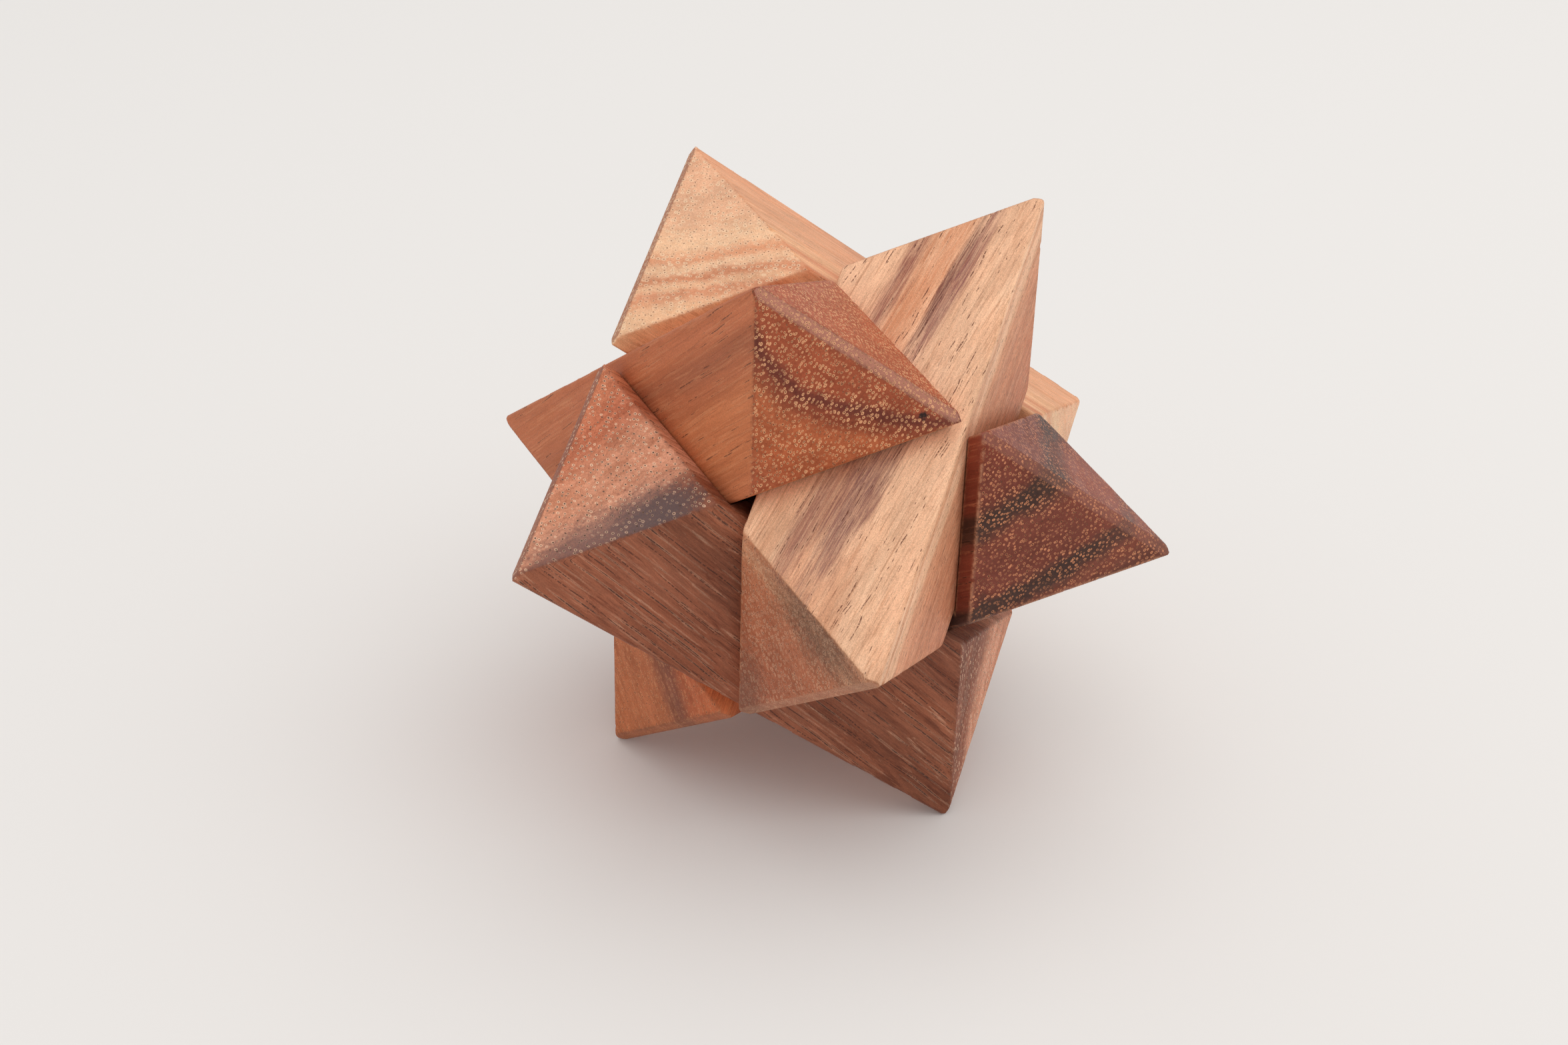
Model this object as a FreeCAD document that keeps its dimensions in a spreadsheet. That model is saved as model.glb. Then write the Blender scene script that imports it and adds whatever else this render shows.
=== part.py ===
"""Diagonal burr, the six-piece wooden star puzzle, standing on three of its twelve points.

Six identical square sticks cross in three pairs. Each lies on one of its long edges, so that
its section is a diamond, has both ends mitred to a point and has two V-notches across its inner
edge. A notch fits over the back of the stick that crosses below it, so the six hold each other.
Millimetres, +Z up, origin on the table below the middle of the star.
"""
import FreeCAD, Part
import math
import os

import Sketcher

DIMENSIONS = [
    ("stick_side", 20.0, "side of a stick's square section"),
    ("stick_length", 62.8, "length of a stick between its two pointed ends"),
    ("axis_offset", 15.4, "from the middle of the star to the axis of each stick"),
    ("notch_gap", 0.12, "clearance between a notch's wall and the stick that lies in it"),
    ("ridge_flat", 1.4, "width of the flat sanded along the edge of each pointed end"),
    ("edge_flat", 0.4, "width of the flats sanded along the other outer edges"),
]

DOC = FreeCAD.newDocument("diagonal_burr")
SHEET = DOC.addObject("Spreadsheet::Sheet", "Dimensions")
for row, (alias, value, meaning) in enumerate(DIMENSIONS, start=1):
    SHEET.set(f"A{row}", alias)
    SHEET.set(f"B{row}", str(value))
    SHEET.set(f"C{row}", meaning)
    SHEET.setAlias(f"B{row}", alias)
DOC.recompute()

# The star's own right-angled axes, as they lie when it stands on three points: the sticks run
# along them in pairs. Its third diagonal, minus first, minus second, plus third, points up.
ROOT2, ROOT3, ROOT6 = math.sqrt(2), math.sqrt(3), math.sqrt(6)
FIRST = FreeCAD.Vector(-1 / ROOT6, -1 / ROOT2, -1 / ROOT3)
SECOND = FreeCAD.Vector(2 / ROOT6, 0, -1 / ROOT3)
THIRD = FreeCAD.Vector(1 / ROOT6, -1 / ROOT2, 1 / ROOT3)

# Each stick's name, the direction that it runs in, and the direction that its back faces.
STICKS = [
    ("upper_front_stick", FIRST, THIRD),
    ("lower_back_stick", FIRST, -THIRD),
    ("lower_front_stick", SECOND, FIRST),
    ("upper_back_stick", SECOND, -FIRST),
    ("lower_right_stick", THIRD, SECOND),
    ("upper_left_stick", THIRD, -SECOND),
]

HALF_LENGTH = "Dimensions.stick_length / 2"
HALF_DIAGONAL = "Dimensions.stick_side / sqrt(2)"
NOTCH_DEPTH = "Dimensions.stick_side / sqrt(2) + Dimensions.notch_gap * sqrt(2)"
# The middle of the star stands this far above the points that it rests on.
REST_HEIGHT = (
    "(Dimensions.stick_length / 2 - Dimensions.ridge_flat / 2 + Dimensions.axis_offset"
    " + Dimensions.stick_side / sqrt(2)) / sqrt(3)"
)

# Sketcher's numbers for its own origin point and axes, and for the two ends of a line.
ORIGIN_POINT = (-1, 1)
ACROSS_AXIS = -1
UPWARD_AXIS = -2
START = 1
END = 2

# How far a length, in mm, and a volume, in cubic mm, may be from what they should be.
CLOSE_ENOUGH = 1e-6
VOLUME_CLOSE = 0.01


def origin_plane(body, role):
    """One of the body's own three origin planes."""
    return next(item for item in body.Origin.OriginFeatures if item.Role == role)


def new_sketch(body, name, role, corners):
    """A closed outline through the corners, on an origin plane. Line i starts at corner i."""
    sketch = body.newObject("Sketcher::SketchObject", name)
    sketch.AttachmentSupport = (origin_plane(body, role), [""])
    sketch.MapMode = "FlatFace"
    points = [FreeCAD.Vector(x, y, 0) for x, y in corners]
    count = len(points)
    for index, point in enumerate(points):
        sketch.addGeometry(Part.LineSegment(point, points[(index + 1) % count]), False)
    for index in range(count):
        sketch.addConstraint(Sketcher.Constraint("Coincident", index, END, (index + 1) % count, START))
    return sketch


def rule(sketch, kind, *picks):
    """A geometric constraint."""
    sketch.addConstraint(Sketcher.Constraint(kind, *picks))


def size(sketch, kind, picks, start_value, expression):
    """A dimension whose value comes from the sheet."""
    index = sketch.addConstraint(Sketcher.Constraint(kind, *picks, start_value))
    sketch.setExpression(f"Constraints[{index}]", expression)


def cut_through(body, name, sketch):
    """Cut the outline right through the stick, both ways from its plane."""
    pocket = body.newObject("PartDesign::Pocket", name)
    pocket.Profile = sketch
    pocket.Type = "ThroughAll"
    pocket.SideType = "Symmetric"
    return pocket


def square_bar(body):
    """A square bar lying on its long edge, its axis above the body's origin."""
    half_diagonal = SHEET.stick_side / ROOT2
    middle = SHEET.axis_offset
    top = (0, middle + half_diagonal)
    right = (half_diagonal, middle)
    bottom = (0, middle - half_diagonal)
    left = (-half_diagonal, middle)
    sketch = new_sketch(body, "section", "YZ_Plane", [top, right, bottom, left])
    rule(sketch, "PointOnObject", 0, START, UPWARD_AXIS)
    rule(sketch, "PointOnObject", 2, START, UPWARD_AXIS)
    rule(sketch, "Symmetric", 1, START, 3, START, UPWARD_AXIS)
    rule(sketch, "Perpendicular", 0, 1)
    rule(sketch, "Equal", 0, 1)
    size(sketch, "Distance", (0,), SHEET.stick_side, "Dimensions.stick_side")
    size(sketch, "DistanceY", (*ORIGIN_POINT, 1, START), middle, "Dimensions.axis_offset")
    bar = body.newObject("PartDesign::Pad", "bar")
    bar.Profile = sketch
    bar.SideType = "Symmetric"
    bar.setExpression("Length", "Dimensions.stick_length")
    return bar


def mitred_end(body):
    """Both mitre cuts of one end, which leave an upright edge on the stick's middle plane."""
    tip = SHEET.stick_length / 2
    reach = SHEET.stick_side
    corners = [(tip, 0), (tip - reach, reach), (tip + reach, reach),
               (tip + reach, -reach), (tip - reach, -reach)]
    sketch = new_sketch(body, "mitres", "XY_Plane", corners)
    rule(sketch, "PointOnObject", 0, START, ACROSS_AXIS)
    rule(sketch, "Horizontal", 1)
    rule(sketch, "Vertical", 2)
    rule(sketch, "Horizontal", 3)
    rule(sketch, "Symmetric", 1, START, 4, START, ACROSS_AXIS)
    rule(sketch, "Perpendicular", 4, 0)
    size(sketch, "DistanceX", (*ORIGIN_POINT, 0, START), tip, HALF_LENGTH)
    size(sketch, "DistanceX", (1, START, 2, START), 2 * reach, "2 * Dimensions.stick_side")
    size(sketch, "DistanceY", (*ORIGIN_POINT, 1, START), reach, "Dimensions.stick_side")
    return cut_through(body, "mitred_end", sketch)


def notch(body):
    """One V-notch across the inner edge, over the back of the stick that crosses there."""
    middle = SHEET.axis_offset
    depth = SHEET.stick_side / ROOT2 + SHEET.notch_gap * ROOT2
    corners = [(middle, depth), (middle + depth, 0), (middle - depth, 0)]
    sketch = new_sketch(body, "vee", "XZ_Plane", corners)
    rule(sketch, "PointOnObject", 1, START, ACROSS_AXIS)
    rule(sketch, "PointOnObject", 2, START, ACROSS_AXIS)
    rule(sketch, "Perpendicular", 0, 2)
    rule(sketch, "Equal", 0, 2)
    size(sketch, "DistanceX", (*ORIGIN_POINT, 0, START), middle, "Dimensions.axis_offset")
    size(sketch, "DistanceY", (*ORIGIN_POINT, 0, START), depth, NOTCH_DEPTH)
    return cut_through(body, "notch", sketch)


def mirrored(body, features):
    """The same cuts at the stick's other end."""
    mirror = body.newObject("PartDesign::Mirrored", "other_end")
    mirror.Originals = features
    mirror.MirrorPlane = (origin_plane(body, "YZ_Plane"), [""])
    body.Tip = mirror
    return mirror


def edge_names(shape, wanted):
    """Names of the edges whose two ends both satisfy wanted."""
    names = []
    for index, edge in enumerate(shape.Edges, start=1):
        ends = [vertex.Point for vertex in edge.Vertexes]
        if len(ends) == 2 and wanted(*ends):
            names.append(f"Edge{index}")
    return names


def flats(body, name, base, wanted, width):
    """A flat of the given width along each wanted edge, all of which are square corners."""
    chamfer = body.newObject("PartDesign::Chamfer", name)
    chamfer.Base = (base, edge_names(base.Shape, wanted))
    chamfer.setExpression("Size", f"{width} / sqrt(2)")
    DOC.recompute()
    return chamfer


def is_ridge(start, end):
    """The upright edge where the two mitres of an end meet."""
    tip = SHEET.stick_length / 2
    return abs(abs(start.x) - tip) < CLOSE_ENOUGH and abs(abs(end.x) - tip) < CLOSE_ENOUGH


def is_long_edge(start, end):
    """The back edge and the two side edges, which run the whole length past the notches."""
    level = SHEET.axis_offset - CLOSE_ENOUGH
    along = abs(start.y - end.y) < CLOSE_ENOUGH and abs(start.z - end.z) < CLOSE_ENOUGH
    return along and min(start.z, end.z) > level


def whole_volume():
    """Volume of a mitred stick before it is notched."""
    half_diagonal = SHEET.stick_side / ROOT2
    return SHEET.stick_side ** 2 * SHEET.stick_length - 4 * half_diagonal ** 3 / 3


def notch_volume():
    """Volume that one notch takes out."""
    half_diagonal = SHEET.stick_side / ROOT2
    height = 2 * half_diagonal + SHEET.notch_gap * ROOT2 - SHEET.axis_offset
    return 2 * height ** 3 / 3


def make_stick(label, along, outward):
    """One stick, built along its own X with its back to +Z and the star's middle at its origin."""
    body = DOC.addObject("PartDesign::Body", label)
    body.Label = label
    square_bar(body)
    mitres = mitred_end(body)
    vee = notch(body)
    both_ends = mirrored(body, [mitres, vee])
    DOC.recompute()
    expected = whole_volume() - 2 * notch_volume()
    if abs(both_ends.Shape.Volume - expected) > VOLUME_CLOSE:
        raise RuntimeError(f"{label}: cut to {both_ends.Shape.Volume}, expected {expected}")
    eased = flats(body, "edge_flats", both_ends, is_long_edge, "Dimensions.edge_flat")
    body.Tip = flats(body, "ridge_flats", eased, is_ridge, "Dimensions.ridge_flat")
    turn = FreeCAD.Rotation(along, outward.cross(along), outward, "ZXY")
    body.Placement = FreeCAD.Placement(FreeCAD.Vector(0, 0, 0), turn)
    body.setExpression("Placement.Base.z", REST_HEIGHT)
    return body


def check(bodies):
    """Stop if anything in the document failed, or a stick isn't one sound solid."""
    for item in DOC.Objects:
        if {"Invalid", "Error"} & set(item.State):
            raise RuntimeError(f"{item.Name} failed: {item.State}")
    for body in bodies:
        shape = body.Shape
        if shape.isNull() or not shape.isValid() or len(shape.Solids) != 1:
            raise RuntimeError(f"{body.Label} is not one sound solid")


def write(bodies):
    """One STEP file for each stick, and a line that describes it."""
    os.makedirs("parts", exist_ok=True)
    for body in bodies:
        body.Shape.exportStep(os.path.join("parts", f"{body.Label}.step"))
        box = body.Shape.BoundBox
        print(f"{body.Label}: {body.Shape.Volume:.1f} mm3, z {box.ZMin:.3f} to {box.ZMax:.3f}")


sticks = [make_stick(label, along, outward) for label, along, outward in STICKS]
DOC.recompute()
check(sticks)
write(sticks)
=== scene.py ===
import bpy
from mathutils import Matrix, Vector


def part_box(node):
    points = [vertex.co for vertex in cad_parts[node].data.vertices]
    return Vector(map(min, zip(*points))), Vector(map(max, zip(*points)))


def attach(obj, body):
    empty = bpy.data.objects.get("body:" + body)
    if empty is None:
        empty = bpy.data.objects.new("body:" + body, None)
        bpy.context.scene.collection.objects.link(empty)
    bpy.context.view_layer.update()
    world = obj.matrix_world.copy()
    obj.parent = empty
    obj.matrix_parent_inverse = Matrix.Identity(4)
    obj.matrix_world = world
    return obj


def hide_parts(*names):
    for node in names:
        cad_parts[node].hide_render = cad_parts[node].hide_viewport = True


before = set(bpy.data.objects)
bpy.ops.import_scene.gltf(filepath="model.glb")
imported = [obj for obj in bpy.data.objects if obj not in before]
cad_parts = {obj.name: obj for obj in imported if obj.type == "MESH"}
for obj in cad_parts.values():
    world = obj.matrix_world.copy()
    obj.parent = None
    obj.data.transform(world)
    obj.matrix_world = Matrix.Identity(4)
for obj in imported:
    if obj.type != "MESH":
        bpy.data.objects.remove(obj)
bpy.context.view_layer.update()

"""The looks of the diagonal burr: six worn hardwood sticks, each in its own wood.

Every stick is worn down in its own frame, in millimetres: X along the stick, Z outwards from the
middle of the star, and the origin in that middle. Its mesh is then stood in the row frame, where
lengths are metres, and its wood turns places back, so the grain follows the stick's own length.
"""
import math
import random

import bpy
import numpy as np
from mathutils import Matrix, Vector, noise

MM = 0.001

# ---------------------------------------------------------------- the sticks, from the frame

# The star's right-angled axes as it stands: its sticks run along them in pairs.
FIRST = Vector((-1 / math.sqrt(6), -1 / math.sqrt(2), -1 / math.sqrt(3)))
SECOND = Vector((2 / math.sqrt(6), 0, -1 / math.sqrt(3)))
THIRD = Vector((1 / math.sqrt(6), -1 / math.sqrt(2), 1 / math.sqrt(3)))

# Each stick's node, the direction that it runs in, and the direction that its back faces.
STICKS = {
    "upper_front_stick": (FIRST, THIRD),
    "lower_back_stick": (FIRST, -THIRD),
    "lower_front_stick": (SECOND, FIRST),
    "upper_back_stick": (SECOND, -FIRST),
    "lower_right_stick": (THIRD, SECOND),
    "upper_left_stick": (THIRD, -SECOND),
}

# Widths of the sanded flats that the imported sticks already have, and the gap in a notch.
RIDGE_FLAT = 1.4
EDGE_FLAT = 0.4
NOTCH_GAP = 0.12


def node_points(name):
    """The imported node's points in the row frame, in metres."""
    return np.array([v.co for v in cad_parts[name].data.vertices])


star_top = max(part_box(name)[1].z for name in STICKS)
STAR_MIDDLE = Vector((0, 0, star_top / 2))


def stick_frame(name):
    """Where the stick's own frame stands in the row frame."""
    along, outward = STICKS[name]
    across = outward.cross(along)
    turn = Matrix((along, across, outward)).transposed()
    return Matrix.Translation(STAR_MIDDLE) @ turn.to_4x4()


def own_points(name):
    """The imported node's points in the stick's own frame, in millimetres."""
    back = np.array(stick_frame(name).inverted())
    return (node_points(name) @ back[:3, :3].T + back[:3, 3]) / MM


farthest = own_points("upper_front_stick").max(axis=0)
HALF_LENGTH = farthest[0] + RIDGE_FLAT / 2
HALF_DIAGONAL = farthest[1] + EDGE_FLAT / 2
AXIS_OFFSET = farthest[2] + EDGE_FLAT / 2 - HALF_DIAGONAL
NOTCH_APEX = HALF_DIAGONAL + NOTCH_GAP * math.sqrt(2)

# ---------------------------------------------------------------- the shape of a worn stick

# The mesh's spacing, and how its points are moved onto the worn surface: in so many steps, with
# the slope measured over a short way and never taken as flatter than a least one.
VOXEL = 0.27
SETTLE_STEPS = 6
SLOPE_STEP = 0.02
LEAST_SLOPE = 0.2
WELD_GAP = 0.001

# Radii that wear has given the edges, what it adds at corners and tips and within what reach,
# how much it varies, and the noise that it varies by: how fine, and the share of the finer one.
EDGE_ROUND = 0.16
LEAST_ROUND = 0.08
NOTCH_ROUND = 0.12
CORNER_ROUND = 0.25
TIP_ROUND = 0.15
CORNER_REACH = 2.0
ROUND_VARIES = 0.12
BROAD_NOISE = 0.45
FINE_NOISE = 2.0
FINE_SHARE = 0.3
NOISE_SHIFT = (17.3, 5.1, 9.7)

# How far from an edge its colour still shows, and how near a notch's wall counts as the wall.
SHOWN_EDGE = 0.35
WALL_REACH = 0.05

# Small dents in the edges: how many on each, along what share of it, their radii, how far out
# their middles stand as a share of that, how much shorter a length counts along the grain, and
# the reach and easing of each.
NICKS_PER_EDGE = 3
NICK_SPAN = (0.06, 0.94)
NICK_SIZES = (0.18, 0.46)
NICK_OUT = 0.62
NICK_STRETCH = (0.5, 1, 1)
NICK_REACH = 0.9
NICK_ROUND = 0.05


def face_distances(points, ridges):
    """How far outside each of a stick's faces the points are, and outside its notches' walls."""
    x, y = np.abs(points[:, 0]), points[:, 1]
    ridge = np.where(points[:, 0] < 0, ridges[0], ridges[1])
    z = points[:, 2] - AXIS_OFFSET
    root = math.sqrt(2)
    faces = np.stack([
        (y + z - HALF_DIAGONAL) / root,
        (-y + z - HALF_DIAGONAL) / root,
        (y - z - HALF_DIAGONAL) / root,
        (-y - z - HALF_DIAGONAL) / root,
        (x + y - HALF_LENGTH) / root,
        (x - y - HALF_LENGTH) / root,
        x - (HALF_LENGTH - ridge / 2),
    ])
    notch = (NOTCH_APEX - points[:, 2] - np.abs(x - AXIS_OFFSET)) / root
    return faces, notch


def rounded(distances, radius):
    """Distance outside a solid whose edges are rounded, from the distances outside its faces."""
    return np.sqrt((np.maximum(distances + radius, 0) ** 2).sum(axis=0)) - radius


def worn_distance(points, radius, ridges, nicks):
    """Distance outside the worn stick."""
    faces, notch = face_distances(points, ridges)
    outside = rounded(faces, radius)
    outside = rounded(np.stack([outside, notch]), NOTCH_ROUND)
    for near, middle, size in nicks:
        dent = size - np.linalg.norm((points[near] - middle) * NICK_STRETCH, axis=1)
        outside[near] = rounded(np.stack([outside[near], dent]), NICK_ROUND)
    return outside


def stick_edges():
    """The outer edges of a stick, each as its two ends."""
    top, bottom = AXIS_OFFSET + HALF_DIAGONAL, AXIS_OFFSET - HALF_DIAGONAL
    edges = []
    for end in (-1, 1):
        tip = end * HALF_LENGTH
        edges.append(((0, 0, top), (tip, 0, top)))
        for side in (-HALF_DIAGONAL, HALF_DIAGONAL):
            corner = (end * (HALF_LENGTH - HALF_DIAGONAL), side, AXIS_OFFSET)
            edges.append(((0, side, AXIS_OFFSET), corner))
            edges.append(((tip, 0, top), corner))
            edges.append(((tip, 0, bottom), corner))
    return edges


def small_nicks(points, seed):
    """Dents that use has left in the edges: the points near each, its middle and its radius."""
    draw = random.Random(seed)
    nicks = []
    for first, last in stick_edges():
        for _ in range(NICKS_PER_EDGE):
            place = Vector(first).lerp(Vector(last), draw.uniform(*NICK_SPAN))
            size = draw.uniform(*NICK_SIZES)
            outward = (place - Vector((place.x / 2, 0, AXIS_OFFSET))).normalized()
            middle = np.array(place + outward * size * NICK_OUT)
            near = np.linalg.norm(points - middle, axis=1) < 2 * size + NICK_REACH
            nicks.append((np.flatnonzero(near), middle, size))
    return nicks


def noise_at(points, scale, seed):
    """Smooth noise from -1 to 1 at each point."""
    shift = Vector([seed * part for part in NOISE_SHIFT])
    return np.array([noise.noise(Vector(p) * scale + shift) for p in points])


def rounding(points, seed):
    """The radius that wear has given the edges at each point."""
    radius = EDGE_ROUND + ROUND_VARIES * noise_at(points, BROAD_NOISE, seed)
    radius += FINE_SHARE * ROUND_VARIES * noise_at(points, FINE_NOISE, seed + 1)
    mirrored = np.abs(points)
    corner = (HALF_LENGTH - HALF_DIAGONAL, HALF_DIAGONAL, AXIS_OFFSET)
    to_corner = np.linalg.norm(mirrored - corner, axis=1)
    tip = (HALF_LENGTH, 0, AXIS_OFFSET + HALF_DIAGONAL)
    to_tip = np.linalg.norm(mirrored - tip, axis=1)
    radius += CORNER_ROUND * np.exp(-((to_corner / CORNER_REACH) ** 2))
    radius += TIP_ROUND * np.exp(-((to_tip / CORNER_REACH) ** 2))
    return np.maximum(radius, LEAST_ROUND)


def settle(points, *wear):
    """Move the points onto the worn surface."""
    for _ in range(SETTLE_STEPS):
        here = worn_distance(points, *wear)
        slope = np.stack([
            (worn_distance(points + SLOPE_STEP * axis, *wear) - here) / SLOPE_STEP
            for axis in np.eye(3)
        ], axis=1)
        steepness = np.maximum((slope ** 2).sum(axis=1), LEAST_SLOPE)
        move = here / steepness
        points = points - np.clip(move, -VOXEL, VOXEL)[:, None] * slope
    return points


def dense_copy(name):
    """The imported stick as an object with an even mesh, in its own frame and in millimetres."""
    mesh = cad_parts[name].data.copy()
    mesh.materials.clear()
    mesh.transform(Matrix.Scale(1 / MM, 4) @ stick_frame(name).inverted())
    stick = bpy.data.objects.new("worn_" + name, mesh)
    bpy.context.scene.collection.objects.link(stick)
    weld = stick.modifiers.new("weld", "WELD")
    weld.merge_threshold = WELD_GAP
    remesh = stick.modifiers.new("even", "REMESH")
    remesh.mode = "VOXEL"
    remesh.voxel_size = VOXEL
    return apply_modifiers(stick)


def apply_modifiers(piece):
    """Give the piece the mesh that its modifiers make."""
    graph = bpy.context.evaluated_depsgraph_get()
    mesh = bpy.data.meshes.new_from_object(piece.evaluated_get(graph))
    piece.modifiers.clear()
    piece.data = mesh
    return piece


def float_attribute(mesh, name, values):
    """One number for each point of the mesh, for its material to read."""
    attribute = mesh.attributes.new(name, "FLOAT", "POINT")
    attribute.data.foreach_set("value", values.astype(np.float32))


def worn_stick(name, seed, ridges):
    """A stick with eased, unevenly worn edges, blunt corners and small nicks."""
    stick = dense_copy(name)
    mesh = stick.data
    points = np.empty(len(mesh.vertices) * 3)
    mesh.vertices.foreach_get("co", points)
    points = points.reshape(-1, 3)
    radius = rounding(points, seed)
    points = settle(points, radius, ridges, small_nicks(points, seed))
    faces, notch = face_distances(points, ridges)
    second_nearest = np.sort(np.concatenate([faces, notch[None]]), axis=0)[-2]
    on_wall = notch > faces.max(axis=0) - WALL_REACH
    float_attribute(mesh, "edge", np.exp(second_nearest / SHOWN_EDGE))
    float_attribute(mesh, "notch", on_wall.astype(float))
    mesh.vertices.foreach_set("co", points.ravel())
    mesh.transform(stick_frame(name) @ Matrix.Scale(MM, 4))
    mesh.shade_smooth()
    mesh.update()
    return stick


# ---------------------------------------------------------------- the woods


def colour(red, green, blue):
    """A colour named in display values from 0 to 255, as the shader takes it."""
    def linear(value):
        share = value / 255
        return share / 12.92 if share <= 0.04045 else ((share + 0.055) / 1.055) ** 2.4
    return (linear(red), linear(green), linear(blue), 1)


class Tree:
    """Short ways to build a material's nodes. Each takes sockets or plain values."""

    def __init__(self, material):
        material.use_nodes = True
        self.nodes = material.node_tree.nodes
        self.links = material.node_tree.links
        self.shader = self.nodes["Principled BSDF"]

    def set(self, node, key, value):
        """Link or write one input."""
        if isinstance(value, bpy.types.NodeSocket):
            self.links.new(value, node.inputs[key])
        else:
            node.inputs[key].default_value = value

    def add(self, kind, inputs, **settings):
        """A node with its settings and inputs."""
        node = self.nodes.new(kind)
        for key, value in settings.items():
            setattr(node, key, value)
        for key, value in inputs.items():
            self.set(node, key, value)
        return node

    def math(self, operation, *values):
        """One sum."""
        node = self.add("ShaderNodeMath", dict(enumerate(values)), operation=operation)
        return node.outputs[0]

    def vector(self, operation, first, second):
        """One vector sum."""
        inputs = {0: first, 1: second}
        return self.add("ShaderNodeVectorMath", inputs, operation=operation).outputs[0]

    def length(self, place):
        """How far the place is from its origin."""
        node = self.add("ShaderNodeVectorMath", {0: place}, operation="LENGTH")
        return node.outputs["Value"]

    def join(self, *values):
        """A vector from up to three numbers."""
        return self.add("ShaderNodeCombineXYZ", dict(enumerate(values))).outputs[0]

    def split(self, place):
        """The three numbers of a vector."""
        return self.add("ShaderNodeSeparateXYZ", {0: place}).outputs

    def cloud(self, place, scale, detail=3.0, roughness=0.5):
        """Noise from about 0.2 to 0.8, after the place is scaled along each direction."""
        inputs = {
            "Vector": self.vector("MULTIPLY", place, scale),
            "Scale": 1.0,
            "Detail": detail,
            "Roughness": roughness,
        }
        return self.add("ShaderNodeTexNoise", inputs).outputs["Fac"]

    def sway(self, place, scale, reach):
        """The place moved across the grain by smooth noise."""
        inputs = {"Vector": self.vector("MULTIPLY", place, scale), "Scale": 1.0, "Detail": 1.0}
        shift = self.add("ShaderNodeTexNoise", inputs).outputs["Color"]
        shift = self.vector("SUBTRACT", shift, (0.5, 0.5, 0.5))
        return self.vector("ADD", place, self.vector("MULTIPLY", shift, (0, reach, reach)))

    def step(self, value, low, high, start=0.0, end=1.0):
        """A smooth change from start to end as value goes from low to high."""
        inputs = {"Value": value, "From Min": low, "From Max": high, "To Min": start, "To Max": end}
        node = self.add("ShaderNodeMapRange", inputs, interpolation_type="SMOOTHSTEP")
        return node.outputs[0]

    def mix(self, share, first, second, blend="MIX"):
        """Two colours mixed."""
        inputs = {0: share, 6: first, 7: second}
        node = self.add("ShaderNodeMix", inputs, data_type="RGBA", blend_type=blend)
        return node.outputs[2]

    def brighten(self, tint, share):
        """A colour multiplied by a number."""
        return self.mix(1.0, tint, self.join(share, share, share), "MULTIPLY")

    def ramp(self, value, stops):
        """A colour for each value from 0 to 1."""
        node = self.add("ShaderNodeValToRGB", {"Fac": value})
        node.color_ramp.interpolation = "EASE"
        points = node.color_ramp.elements
        while len(points) < len(stops):
            points.new(0.5)
        for point, (position, shade) in zip(points, stops):
            point.position = position
            point.color = shade
        return node.outputs["Color"]


# The noise that the woods are made of: how fine it is along the fibres and the two ways across
# them, in turns per millimetre, and then its detail and its roughness.
STREAK = ((0.045, 1.3, 0.25), 5, 0.62)
FIBRE = ((0.5, 7, 5), 3, 0.6)
LINE = ((0.09, 3.4, 1.3), 4, 0.65)
THREAD = ((0.07, 3.2, 3.2), 4, 0.7)
HAIR = ((0.16, 7, 7), 3, 0.7)
RING_DRIFT = ((0.022, 0.1, 0.1), 2)
RING_FRAY = ((0.12, 0.9, 0.9), 4, 0.65)
MOTTLE = ((0.09, 0.28, 0.28), 3, 0.6)
SLEEVE_RAGGED = ((3.2, 5, 5), 2)
SLEEVE_PATCH = ((0.2, 0.55, 0.25), 3)
BEAD = ((3.4, 1, 1), 1)
SLOT_WIDTH = ((0.14, 1, 1), 1)
GRIT = ((6, 8, 8), 4, 0.8)
RUBBED = ((1.3, 1.3, 1.3), 4, 0.7)

# How far apart, in millimetres, each stick lies in that noise, and each vessel in its own. Then
# the millimetres between the rows of slots on a stick's sides, and how evenly vessels are spread.
STICK_APART = 90
VESSEL_APART = 200.0
LINE_GAP = 1.15
VESSEL_RANDOMNESS = 0.85

# How deep an open vessel is, in millimetres, and how much of a notch's wall its colour covers.
HOLE_HEIGHT = -0.05
WALL_SHARE = 0.35

# The gloss of bare, sanded wood.
REFRACTION = 1.46
SPECULAR = 0.34


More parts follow.
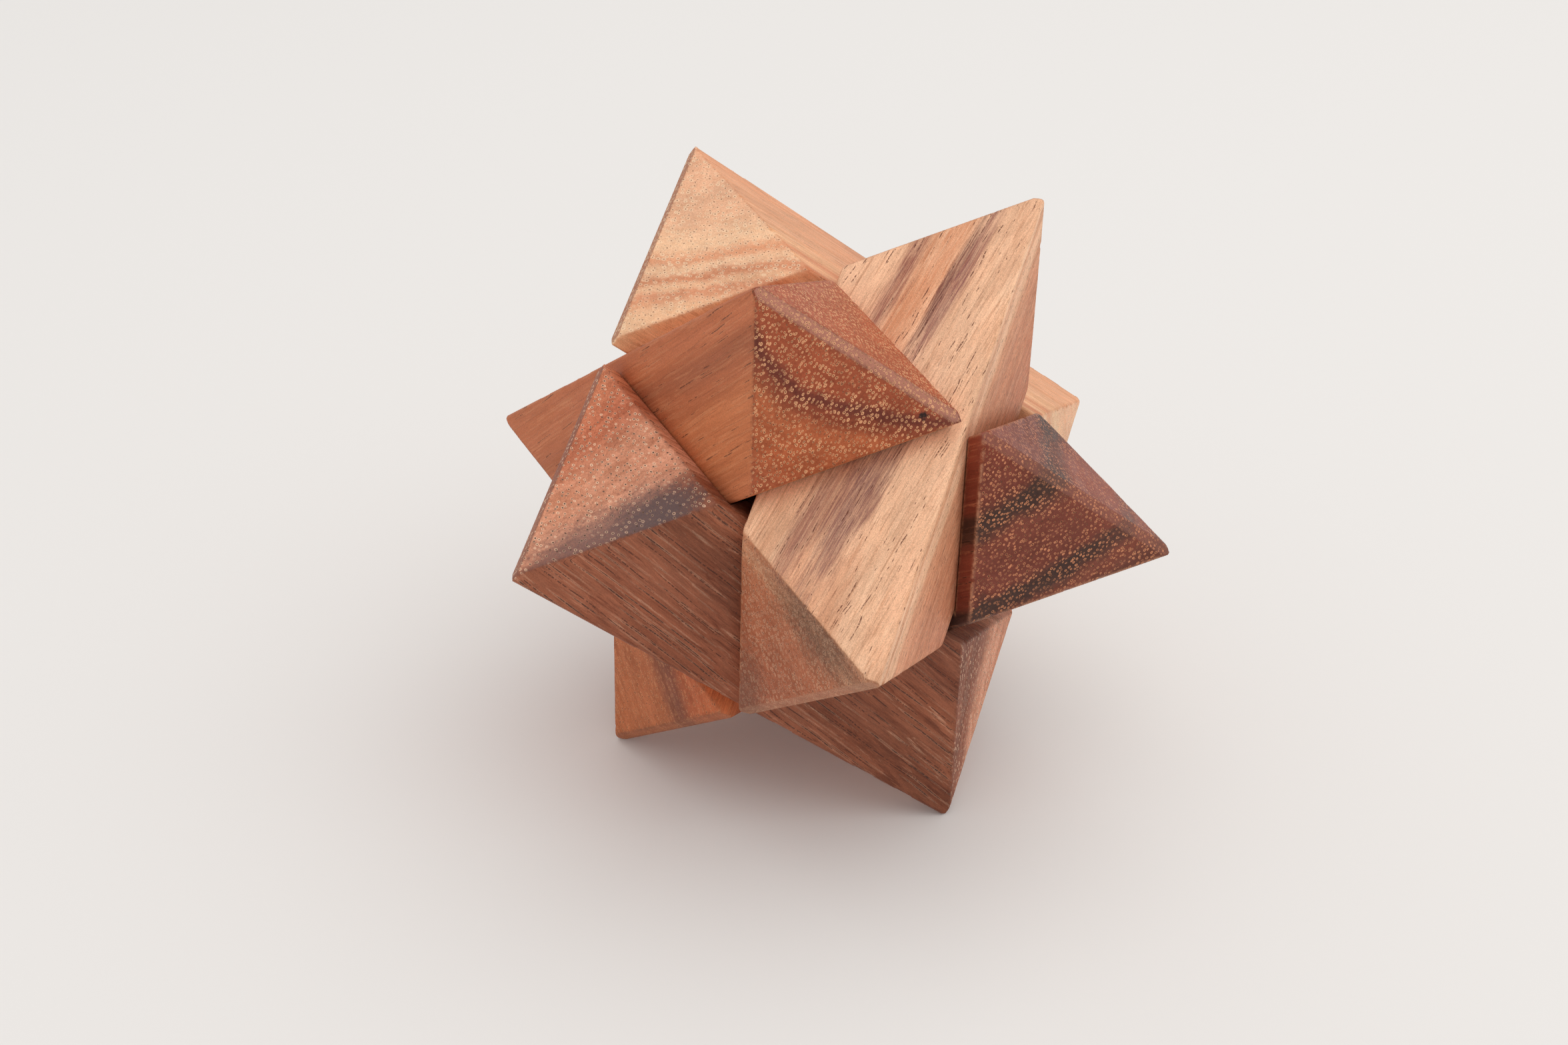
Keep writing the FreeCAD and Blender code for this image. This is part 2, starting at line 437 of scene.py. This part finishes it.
class Wood:
    """A sanded hardwood: growth bands, streaks, fibres, and vessels in pale sleeves."""

    def __init__(self, name, seed, stands, look):
        self.material = bpy.data.materials.new(name)
        self.look = look
        self.stands = stands
        self.tree = tree = Tree(self.material)
        fibres = Vector((1, *look["tilt"])).normalized()
        self.turn = fibres.rotation_difference(Vector((1, 0, 0)))
        self.offset = Vector((seed * STICK_APART, 0, 0))
        self.place = self.grain_place()
        self.warped = tree.sway(self.place, (0.06, 0.12, 0.12), look["sway"])
        self.rings = self.ring_place()
        self.streak = tree.cloud(self.rings, *STREAK)
        self.fibre = tree.cloud(self.rings, *FIBRE)
        self.lines = tree.cloud(self.rings, *LINE)
        self.threads = tree.cloud(self.warped, *THREAD)
        self.hairs = tree.cloud(self.warped, *HAIR)
        self.normal = self.own_normal()
        self.squareness = tree.math("ABSOLUTE", tree.split(self.normal)[0])
        self.end_grain = tree.step(self.squareness, 0.25, 0.6)

    def grain_place(self):
        """Places in millimetres with X along the fibres, from the middle of the stick."""
        inputs = {
            "Vector": self.tree.add("ShaderNodeTexCoord", {}).outputs["Object"],
            "Location": self.stands.translation,
            "Rotation": self.stands.to_euler(),
            "Scale": (MM,) * 3,
        }
        own = self.tree.add("ShaderNodeMapping", inputs, vector_type="TEXTURE").outputs[0]
        inputs = {
            "Vector": own,
            "Location": self.turn @ Vector((0, 0, -AXIS_OFFSET)) + self.offset,
            "Rotation": self.turn.to_euler(),
        }
        return self.tree.add("ShaderNodeMapping", inputs).outputs[0]

    def ring_place(self):
        """Places along the fibres, out from the tree's heart, and round it."""
        tree = self.tree
        heart_y, heart_z = self.look["heart"]
        from_heart = tree.vector("SUBTRACT", self.warped, (0, heart_y, heart_z))
        along, y, z = tree.split(from_heart)
        radius = tree.length(tree.join(0, y, z))
        drift = tree.cloud(self.place, *RING_DRIFT)
        drift = tree.math("MULTIPLY", tree.math("SUBTRACT", drift, 0.5), self.look["drift"])
        radius = tree.math("ADD", radius, drift)
        frayed = tree.cloud(self.place, *RING_FRAY)
        frayed = tree.math("MULTIPLY", tree.math("SUBTRACT", frayed, 0.5), self.look["frayed"])
        radius = tree.math("ADD", radius, frayed)
        distance = math.hypot(heart_y, heart_z)
        start = math.atan2(-heart_z, -heart_y)
        flipped = tree.join(
            tree.math("ADD", tree.math("MULTIPLY", y, math.cos(start)),
                      tree.math("MULTIPLY", z, math.sin(start))),
            tree.math("SUBTRACT", tree.math("MULTIPLY", z, math.cos(start)),
                      tree.math("MULTIPLY", y, math.sin(start))),
        )
        forward, sideways, _ = tree.split(flipped)
        round_it = tree.math("MULTIPLY", tree.math("ARCTAN2", sideways, forward), distance)
        return tree.join(along, radius, round_it)

    def own_normal(self):
        """The surface's direction in the stick. Its X is 0 on sides, 0.7 on mitres, 1 on ridges."""
        normal = self.tree.add("ShaderNodeNewGeometry", {}).outputs["Normal"]
        settings = {"vector_type": "NORMAL", "convert_from": "WORLD", "convert_to": "OBJECT"}
        node = self.tree.add("ShaderNodeVectorTransform", {"Vector": normal}, **settings)
        inputs = {"Vector": node.outputs[0], "Rotation": self.stands.to_euler()}
        return self.tree.add("ShaderNodeMapping", inputs, vector_type="TEXTURE").outputs[0]

    def growth(self):
        """The colour that the growth rings and streaks give the wood."""
        tree, look = self.tree, self.look
        stops = look["rings"]
        first, last = stops[0][0], stops[-1][0]
        radius = tree.split(self.rings)[1]
        share = tree.math("DIVIDE", tree.math("SUBTRACT", radius, first), last - first)
        base = tree.ramp(share, [((at - first) / (last - first), shade) for at, shade in stops])
        streaked = tree.step(self.streak, 0.38, 0.66)
        streaked = tree.math("MULTIPLY", streaked, look["streaks"])
        base = tree.mix(streaked, base, tree.mix(1.0, base, look["streak_tint"], "MULTIPLY"))
        shown = tree.math("MULTIPLY", tree.step(self.end_grain, 0, 1, 1, 0.3), look["lines"])
        dark_line = tree.math("MULTIPLY", tree.step(self.lines, 0.54, 0.66), shown)
        base = tree.mix(dark_line, base, tree.mix(1.0, base, look["line_tint"], "MULTIPLY"))
        pale_line = tree.math("MULTIPLY", tree.step(self.lines, 0.3, 0.42, 1, 0), shown)
        pale_line = tree.math("MULTIPLY", pale_line, look["pale_lines"])
        base = tree.mix(pale_line, base, look["pale"])
        threaded = tree.math("MULTIPLY", tree.step(self.threads, 0.52, 0.66), look["threads"])
        base = tree.mix(threaded, base, tree.mix(1.0, base, look["line_tint"], "MULTIPLY"))
        depth = look["fibres"]
        base = tree.brighten(base, tree.step(self.fibre, 0.3, 0.7, 1 - depth, 1 + depth))
        mottled = tree.cloud(self.warped, *MOTTLE)
        depth = look["mottle"]
        return tree.brighten(base, tree.step(mottled, 0.3, 0.7, 1 - depth, 1 + depth))

    def stain(self, base, centre, reach, roll, tint, strength, fray=1.7, where=1.0):
        """A long patch of another colour. Its centre is a place in the stick."""
        tree, look = self.tree, self.look
        inputs = {
            "Vector": self.warped,
            "Location": self.turn @ Vector(centre) + self.offset,
            "Rotation": (math.radians(roll), 0, 0),
            "Scale": reach,
        }
        near = tree.add("ShaderNodeMapping", inputs, vector_type="TEXTURE").outputs[0]
        ragged = tree.math("MULTIPLY", tree.math("ADD", self.streak, self.threads), fray)
        far = tree.math("ADD", tree.length(near), tree.math("SUBTRACT", fray, ragged))
        lined = tree.step(self.hairs, 0.36, 0.62, 1.0, 1.0 - look["lined_stains"])
        share = tree.math("MULTIPLY", tree.step(far, 0.2, 1.15, strength, 0.0), where)
        return tree.mix(tree.math("MULTIPLY", share, lined), base, tint)

    def vessels(self):
        """Shares of pale sleeve and of dark bore. Vessels run on along the fibres."""
        tree, look = self.tree, self.look
        wobbling = tree.sway(self.warped, (look["wave"], 0.7, 0.7), look["wobble"])
        along, y, z = tree.split(wobbling)
        gap = look["vessel_gap"]
        inputs = {"Vector": tree.join(y, z), "Scale": 1 / gap, "Randomness": VESSEL_RANDOMNESS}
        cells = tree.add("ShaderNodeTexVoronoi", inputs, voronoi_dimensions="2D")
        chance = tree.add("ShaderNodeSeparateColor", {0: cells.outputs["Color"]}).outputs
        ragged = tree.cloud(self.place, *SLEEVE_RAGGED)
        ragged = tree.math("MULTIPLY", tree.math("SUBTRACT", ragged, 0.5), look["ragged"])
        away = tree.math("MULTIPLY_ADD", cells.outputs["Distance"], gap, ragged)
        sleeve = tree.math("MULTIPLY_ADD", chance[1], look["sleeve"] * 0.7, look["sleeve"] * 0.7)
        bore = tree.math("MULTIPLY_ADD", chance[0], look["bore"], look["bore"] * 0.5)
        pale = tree.step(away, tree.math("MULTIPLY", sleeve, 0.55), sleeve, 1.0, 0.0)
        middle = tree.step(away, 0.02, tree.math("MULTIPLY", sleeve, 0.6), look["hollow"], 1.0)
        pale = tree.math("MULTIPLY", pale, middle)
        hole = tree.step(away, tree.math("MULTIPLY", bore, 0.5), bore, 1.0, 0.0)
        shifted = tree.join(along, tree.math("MULTIPLY", chance[2], VESSEL_APART), 0.0)
        run = tree.cloud(shifted, (look["run"], 1, 1), 1)
        closed = tree.step(self.end_grain, 0, 1, look["open"], look["open_end"])
        open_here = tree.step(tree.math("SUBTRACT", run, closed), 0.0, 0.1)
        beads = tree.step(tree.cloud(shifted, *BEAD), 0.34, 0.5, 0.25, 1.0)
        beads = tree.math("MAXIMUM", beads, self.end_grain)
        hole = tree.math("MULTIPLY", hole, tree.math("MULTIPLY", open_here, beads))
        patchy = tree.cloud(self.rings, *SLEEVE_PATCH)
        share = tree.step(self.squareness, 0.2, 0.65, look["pale_side"], look["pale_end"])
        share = tree.math("MULTIPLY", share, tree.step(patchy, 0.32, 0.62, 0.45, 1.15))
        return tree.math("MULTIPLY", pale, share), tree.math("MAXIMUM", hole, self.open_lines())

    def open_lines(self):
        """Rows of short dark slots where vessels run just under the side of the stick."""
        tree = self.tree
        wavy = tree.sway(self.warped, (0.1, 0.4, 0.4), 0.8)
        across = tree.vector("CROSS_PRODUCT", (1, 0, 0), self.normal)
        place = tree.add("ShaderNodeVectorMath", {0: wavy, 1: across}, operation="DOT_PRODUCT")
        inputs = {"W": place.outputs["Value"], "Scale": 1 / LINE_GAP}
        rows = tree.add("ShaderNodeTexVoronoi", inputs, voronoi_dimensions="1D")
        off = tree.math("MULTIPLY", rows.outputs["Distance"], LINE_GAP)
        along = tree.split(wavy)[0]
        row = tree.split(rows.outputs["Color"])[0]
        shifted = tree.join(along, tree.math("MULTIPLY", row, VESSEL_APART), 0.0)
        width = tree.step(tree.cloud(shifted, *SLOT_WIDTH), 0.4, 0.6, 0.0, 0.07)
        line = tree.step(off, tree.math("MULTIPLY", width, 0.5), width, self.look["open_lines"], 0)
        slots = tree.step(tree.cloud(shifted, *BEAD), 0.4, 0.5)
        sides = tree.step(self.end_grain, 0, 1, 1, 0)
        return tree.math("MULTIPLY", line, tree.math("MULTIPLY", slots, sides))

    def finish(self):
        """Join the parts to the shader."""
        tree, look = self.tree, self.look
        base = self.growth()
        # The end grain's own tint. Where it is above one it is painted light: it makes the end grain
        # paler than the sides.
        base = tree.mix(self.end_grain, base, tree.mix(1.0, base, look["end_tint_and_painted_light"], "MULTIPLY"))
        for patch in look["stains"]:
            base = self.stain(base, *patch)
        for patch in look["end_stains"]:
            base = self.stain(base, *patch, fray=0.7, where=self.end_grain)
        share = tree.math("MULTIPLY", tree.step(self.end_grain, 0, 1, 1, 0), look["side_share"])
        base = tree.mix(share, base, look["side"])
        pale, hole = self.vessels()

        grit = tree.cloud(self.place, *GRIT)
        notchy = tree.math("MULTIPLY", tree.math("SUBTRACT", grit, 0.5), 0.35)
        ridge = tree.step(tree.math("ADD", self.squareness, notchy), 0.84, 0.93)
        base = tree.mix(tree.math("MULTIPLY", ridge, look["ridge_share"]), base, look["ridge"])
        base = tree.mix(pale, base, look["pale"])
        half = tree.math("MULTIPLY", self.end_grain, 0.5)
        for patch in look["end_stains"]:
            base = self.stain(base, *patch, fray=0.7, where=half)
        for patch in look["pits"]:
            base = self.stain(base, *patch, where=self.end_grain)
        base = tree.mix(tree.math("MULTIPLY", hole, look["dark_share"]), base, look["dark"])
        base = tree.brighten(base, tree.step(grit, 0.36, 0.64, 1 - look["speckle"],
                                             1 + look["speckle"]))

        # Handling has changed the colour of the edges, unevenly.
        edge = tree.add("ShaderNodeAttribute", {}, attribute_name="edge").outputs["Fac"]
        patchy = tree.cloud(self.place, *RUBBED)
        rubbed = tree.math("MULTIPLY", tree.step(edge, 0.3, 0.95), tree.step(patchy, 0.35, 0.6))
        base = tree.mix(tree.math("MULTIPLY", rubbed, look["edge_share"]), base, look["edge"])
        walls = tree.add("ShaderNodeAttribute", {}, attribute_name="notch").outputs["Fac"]
        base = tree.mix(tree.math("MULTIPLY", walls, WALL_SHARE), base, look["wall"])

        rough = tree.step(self.streak, 0.3, 0.7, look["rough"] - 0.05, look["rough"] + 0.07)
        height = tree.math("MULTIPLY", hole, HOLE_HEIGHT)
        height = tree.math("MULTIPLY_ADD", self.fibre, look["nap"], height)
        height = tree.math("MULTIPLY_ADD", grit, look["grit"], height)
        bump = tree.add("ShaderNodeBump", {"Height": height, "Distance": MM, "Strength": 1.0})
        tree.set(tree.shader, "Base Color", base)
        tree.set(tree.shader, "Roughness", rough)
        tree.set(tree.shader, "Normal", bump.outputs[0])
        tree.shader.inputs["IOR"].default_value = REFRACTION
        tree.shader.inputs["Specular IOR Level"].default_value = SPECULAR
        return self.material


# What every wood starts from. Lengths are in millimetres, and shares go from 0 to 1. A tint
# multiplies the colour beneath it. The heart is the middle of the growth rings, given across the
# fibres from the middle of the stick.
COMMON = {
    "ridge_flats": (RIDGE_FLAT, RIDGE_FLAT),
    "tilt": (0.0, 0.0),
    "heart": (0.0, -40.0),
    "drift": 1.5,
    "sway": 0.9,
    "frayed": 1.0,
    "streaks": 0.6,
    "streak_tint": (0.72, 0.62, 0.56, 1),
    "lines": 0.6,
    "line_tint": (0.66, 0.56, 0.5, 1),
    "pale_lines": 0.35,
    "fibres": 0.08,
    "mottle": 0.09,
    "speckle": 0.13,
    "end_tint_and_painted_light": (0.82, 0.74, 0.68, 1),
    "ridge": colour(150, 105, 90),
    "ridge_share": 0.6,
    "stains": [],
    "end_stains": [],
    "pits": [],
    "lined_stains": 0.3,
    "side": colour(200, 120, 80),
    "side_share": 0.0,
    "threads": 0.35,
    "open_lines": 0.3,
    "vessel_gap": 0.6,
    "wobble": 0.3,
    "wave": 0.3,
    "hollow": 0.5,
    "ragged": 0.1,
    "open": 0.42,
    "open_end": 0.32,
    "run": 0.3,
    "bore": 0.065,
    "sleeve": 0.2,
    "pale": colour(225, 165, 110),
    "pale_side": 0.15,
    "pale_end": 0.75,
    "dark": colour(60, 30, 20),
    "dark_share": 0.8,
    "edge": colour(120, 70, 50),
    "edge_share": 0.5,
    "wall": colour(200, 150, 110),
    "rough": 0.55,
    "nap": 0.012,
    "grit": 0.03,
}

# What each wood has of its own. Its rings are colours at distances from the heart. A stain or a
# pit is its middle, its reach each way, its roll in degrees, its colour and its strength.
LOOKS = {
    "upper_front_stick": {
        "slot": "pale_streaked_wood",
        "ridge_flats": (1.0, 1.0),
        "tilt": (-0.155, -0.115),
        "heart": (35, -37),
        "drift": 2.4,
        "rings": [
            (44, colour(206, 132, 98)),
            (54, colour(218, 147, 110)),
            (57.5, colour(229, 162, 124)),
            (58.6, colour(248, 195, 156)),
            (59.6, colour(252, 201, 164)),
            (60.4, colour(232, 172, 134)),
            (61.2, colour(252, 202, 164)),
            (62, colour(246, 192, 154)),
            (64, colour(255, 212, 175)),
        ],
        "streaks": 0.5,
        "streak_tint": (0.76, 0.64, 0.56, 1),
        "lines": 0.5,
        "end_tint_and_painted_light": (0.66, 0.5, 0.43, 1),
        "stains": [
            ((-17, -7.1, 7.0), (22, 3.2, 2.0), 45, colour(216, 136, 92), 0.75),
            ((-17, -4.7, 9.4), (22, 1.4, 1.3), 45, colour(146, 92, 82), 1.0),
            ((-17, -5.5, 8.7), (22, 0.6, 1.0), 45, colour(112, 60, 52), 1.0),
            ((-16, -9.4, 4.8), (14, 1.3, 1.2), 45, colour(150, 88, 72), 1.0),
            ((13, -6.4, 7.8), (16, 2.6, 1.5), 45, colour(148, 100, 88), 1.05),
            ((17, -9.6, 4.6), (14, 2.0, 1.5), 45, colour(156, 102, 86), 0.9),
            ((-15, 5.6, 8.6), (18, 0.8, 1.0), -45, colour(192, 126, 96), 0.6),
            ((-15, 9.3, 4.9), (18, 0.8, 1.0), -45, colour(190, 124, 94), 0.6),
        ],
        "end_stains": [
            ((27, -5.6, 6.8), (9, 11, 4.4), 38, colour(94, 66, 50), 0.8),
            ((31, -2, -11), (9, 8, 4), -40, colour(106, 70, 54), 0.65),
        ],
        "vessel_gap": 0.5,
        "wobble": 0.6,
        "run": 0.9,
        "bore": 0.06,
        "threads": 0.7,
        "lined_stains": 0.5,
        "ridge": colour(176, 124, 98),
        "ridge_share": 0.5,
        "dark": colour(112, 58, 40),
        "dark_share": 0.85,
        "pale": colour(250, 206, 168),
        "pale_lines": 0.7,
        "pale_end": 0.26,
        "pale_side": 0.16,
        "open": 0.4,
        "speckle": 0.17,
        "edge": colour(206, 146, 104),
        "edge_share": 0.35,
    },
    "upper_back_stick": {
        "slot": "golden_wood",
        "ridge_flats": (1.0, RIDGE_FLAT),
        "tilt": (0.02, 0.03),
        "heart": (-36, -71.5),
        "rings": [
            (66, colour(229, 167, 125)),
            (71, colour(233, 175, 130)),
            (73.4, colour(215, 140, 99)),
            (74.4, colour(231, 171, 127)),
            (75.6, colour(211, 134, 93)),
            (77, colour(237, 180, 136)),
            (78.2, colour(221, 147, 104)),
            (80, colour(239, 182, 137)),
            (84, colour(231, 167, 125)),
            (94, colour(229, 162, 121)),
        ],
        "drift": 2.6,
        "frayed": 1.6,
        "streaks": 0.3,
        "streak_tint": (0.88, 0.76, 0.66, 1),
        # Above one, this tint is painted light: it makes all the end grain paler than the sides, so
        # that the upward mitres come out brighter.
        "end_tint_and_painted_light": (1.1, 1.27, 1.45, 1),
        "ridge": colour(162, 100, 74),
        "ridge_share": 0.75,
        "vessel_gap": 0.55,
        "pale": colour(252, 218, 180),
        "pale_end": 0.6,
        "dark": colour(150, 86, 60),
        "dark_share": 0.7,
        "open": 0.52,
        "edge": colour(190, 120, 84),
    },
    "upper_left_stick": {
        "slot": "reddish_wood",
        "tilt": (0.035, 0.065),
        "heart": (22, 0.5),
        "rings": [
            (8, colour(214, 138, 102)),
            (20, colour(208, 124, 86)),
            (24.6, colour(200, 114, 76)),
            (26.8, colour(190, 106, 70)),
            (27.9, colour(132, 68, 52)),
            (28.9, colour(172, 94, 62)),
            (30.4, colour(214, 130, 84)),
            (33, colour(212, 126, 80)),
            (36, colour(206, 122, 82)),
        ],
        "drift": 1.8,
        "end_tint_and_painted_light": (0.74, 0.58, 0.52, 1),
        "ridge": colour(180, 124, 104),
        "ridge_share": 0.75,
        "stains": [
            ((-20, -4, 10), (16, 6, 6), 45, colour(190, 112, 74), 0.4),
        ],
        "pits": [
            ((30.2, -1.3, -10), (2.4, 0.45, 0.62), 0, colour(40, 20, 16), 1.6),
        ],
        "lines": 0.8,
        "threads": 0.6,
        "side": colour(206, 121, 77),
        "side_share": 0.5,
        "vessel_gap": 0.42,
        "sleeve": 0.14,
        "pale": colour(242, 178, 130),
        "pale_end": 0.85,
        "dark": colour(90, 42, 28),
        "dark_share": 0.7,
        "open": 0.5,
        "edge": colour(112, 60, 44),
    },
    "lower_front_stick": {
        "slot": "brown_lined_wood",
        "ridge_flats": (0.8, RIDGE_FLAT),
        "ridge": colour(130, 78, 60),
        "ridge_share": 0.7,
        "tilt": (-0.12, 0.08),
        "heart": (-34, -18),
        "drift": 1.0,
        "rings": [
            (32, colour(216, 134, 96)),
            (36, colour(204, 120, 85)),
            (40, colour(226, 156, 122)),
            (44, colour(224, 158, 126)),
            (46.2, colour(163, 97, 69)),
            (48.2, colour(140, 82, 57)),
            (49.4, colour(156, 92, 64)),
            (51, colour(140, 82, 58)),
            (54, colour(144, 86, 61)),
        ],
        "end_stains": [
            ((-25, 6.5, 7.6), (10, 13, 4.2), -50, colour(122, 92, 86), 0.85),
            ((-22, 10.5, 2.6), (6, 6.5, 4.6), -50, colour(92, 76, 76), 0.85),
        ],
        "streaks": 0.7,
        "streak_tint": (0.66, 0.54, 0.46, 1),
        "lines": 0.9,
        "pale_lines": 0.25,
        "threads": 0.6,
        "open_lines": 0.9,
        "fibres": 0.14,
        "end_tint_and_painted_light": (1.0, 0.98, 0.98, 1),
        "wobble": 0.16,
        "wave": 0.2,
        "open": 0.36,
        "bore": 0.085,
        "sleeve": 0.15,
        "hollow": 0.3,
        "pale": colour(246, 200, 166),
        "pale_side": 0.16,
        "pale_end": 0.85,
        "dark": colour(62, 34, 26),
        "edge": colour(110, 62, 48),
    },
    "lower_right_stick": {
        "slot": "dark_banded_wood",
        "ridge_flats": (RIDGE_FLAT, 0.6),
        "tilt": (0.03, 0.02),
        "end_stains": [
            ((29, -8, 6), (9, 11, 11), 0, colour(164, 84, 62), 0.55),
        ],
        "heart": (-32, -73.6),
        "drift": 1.8,
        "frayed": 2.6,
        "rings": [
            (66, colour(152, 68, 46)),
            (73.6, colour(134, 64, 47)),
            (75.8, colour(74, 47, 38)),
            (76.8, colour(80, 50, 40)),
            (79.0, colour(138, 69, 52)),
            (84.0, colour(134, 66, 50)),
            (85.6, colour(74, 48, 40)),
            (86.4, colour(80, 51, 43)),
            (88.2, colour(140, 74, 56)),
            (90.4, colour(112, 60, 46)),
            (93, colour(144, 76, 57)),
        ],
        "end_tint_and_painted_light": (0.86, 0.87, 0.85, 1),
        "ridge": colour(140, 94, 80),
        "ridge_share": 0.4,
        "vessel_gap": 0.42,
        "sleeve": 0.125,
        "ragged": 0.09,
        "pale": colour(230, 152, 108),
        "pale_end": 0.85,
        "dark": colour(40, 20, 14),
        "edge": colour(206, 150, 116),
        "edge_share": 0.7,
        "rough": 0.45,
    },
    "lower_back_stick": {
        "slot": "russet_wood",
        "tilt": (0.04, -0.03),
        "heart": (0, -50),
        "rings": [
            (38, colour(204, 112, 66)),
            (43.4, colour(196, 106, 64)),
            (46.2, colour(146, 84, 60)),
            (47.6, colour(156, 92, 64)),
            (51, colour(200, 118, 74)),
            (62, colour(204, 120, 73)),
        ],
        "frayed": 1.8,
        "ridge": colour(156, 100, 74),
        "ridge_share": 0.45,
        "end_tint_and_painted_light": (0.94, 0.9, 0.88, 1),
        "pale": colour(226, 158, 108),
        "pale_end": 0.35,
        "dark": colour(96, 52, 34),
        "edge": colour(130, 76, 50),
    },
}

for seed, (name, own_look) in enumerate(LOOKS.items(), start=1):
    look = {**COMMON, **own_look}
    stick = worn_stick(name, seed, look["ridge_flats"])
    wood = Wood(look["slot"], seed, stick_frame(name), look)
    stick.data.materials.append(wood.finish())
    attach(stick, name)
    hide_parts(name)

# ---------------------------------------------------------------- floor, light and camera


FLOOR_REACH = 3.0
FLOOR_COLOUR = colour(236, 233, 230)
FLOOR_ROUGHNESS = 0.95


def floor():
    """A plain pale floor."""
    mesh = bpy.data.meshes.new("floor")
    corners = [(FLOOR_REACH * x, FLOOR_REACH * y, 0) for x, y in ((-1, -1), (1, -1), (1, 1), (-1, 1))]
    mesh.from_pydata(corners, [], [(0, 1, 2, 3)])
    plane = bpy.data.objects.new("floor", mesh)
    bpy.context.scene.collection.objects.link(plane)
    material = bpy.data.materials.new("floor")
    tree = Tree(material)
    tree.shader.inputs["Base Color"].default_value = FLOOR_COLOUR
    tree.shader.inputs["Roughness"].default_value = FLOOR_ROUGHNESS
    mesh.materials.append(material)


KEY_DIRECTION = Vector((0.3, -0.08, 1.0))
KEY_DISTANCE = 1.1
KEY_WIDTH = 2.0
KEY_POWER = 7.0
KEY_COLOUR = (1.0, 0.985, 0.96)


def key_light():
    """A wide, round, soft light above the star, facing it."""
    light = bpy.data.lights.new("key", "AREA")
    light.shape = "DISK"
    light.size = KEY_WIDTH
    light.energy = KEY_POWER
    light.color = KEY_COLOUR
    lamp = bpy.data.objects.new("key", light)
    towards = KEY_DIRECTION.normalized()
    lamp.location = STAR_MIDDLE + towards * KEY_DISTANCE
    lamp.rotation_euler = towards.to_track_quat("Z", "Y").to_euler()
    bpy.context.scene.collection.objects.link(lamp)


CAMERA_AZIMUTH = math.radians(-9.75)
CAMERA_ELEVATION = math.radians(28.31)
CAMERA_DISTANCE = 0.2659
CAMERA_ROLL = math.radians(1.71)
CAMERA_AIM = STAR_MIDDLE + Vector((-4.45, -1.79, -4.35)) * MM
FOCAL_LENGTH = 51.27
SENSOR_WIDTH = 36.0
NEAREST_SEEN = 0.01


def camera():
    """The view that the object is known by: from the front, a little left and above."""
    lens = bpy.data.cameras.new("camera")
    lens.lens = FOCAL_LENGTH
    lens.sensor_width = SENSOR_WIDTH
    lens.clip_start = NEAREST_SEEN
    eye = bpy.data.objects.new("camera", lens)
    level = math.cos(CAMERA_ELEVATION)
    direction = Vector((
        level * math.sin(CAMERA_AZIMUTH),
        -level * math.cos(CAMERA_AZIMUTH),
        math.sin(CAMERA_ELEVATION),
    ))
    eye.location = STAR_MIDDLE + CAMERA_DISTANCE * direction
    look_back = (eye.location - CAMERA_AIM).to_track_quat("Z", "Y").to_matrix()
    roll = Matrix.Rotation(CAMERA_ROLL, 3, "Z")
    eye.rotation_euler = (look_back @ roll).to_euler()
    bpy.context.scene.collection.objects.link(eye)
    bpy.context.scene.camera = eye


SURROUND_COLOUR = (1.0, 1.0, 1.0, 1)
SURROUND_STRENGTH = 0.72


def surroundings():
    """Even pale light from all round."""
    world = bpy.data.worlds.new("surroundings")
    world.use_nodes = True
    background = world.node_tree.nodes["Background"]
    background.inputs["Color"].default_value = SURROUND_COLOUR
    background.inputs["Strength"].default_value = SURROUND_STRENGTH
    bpy.context.scene.world = world


floor()
surroundings()
key_light()
camera()
bpy.context.scene.view_settings.view_transform = "Standard"
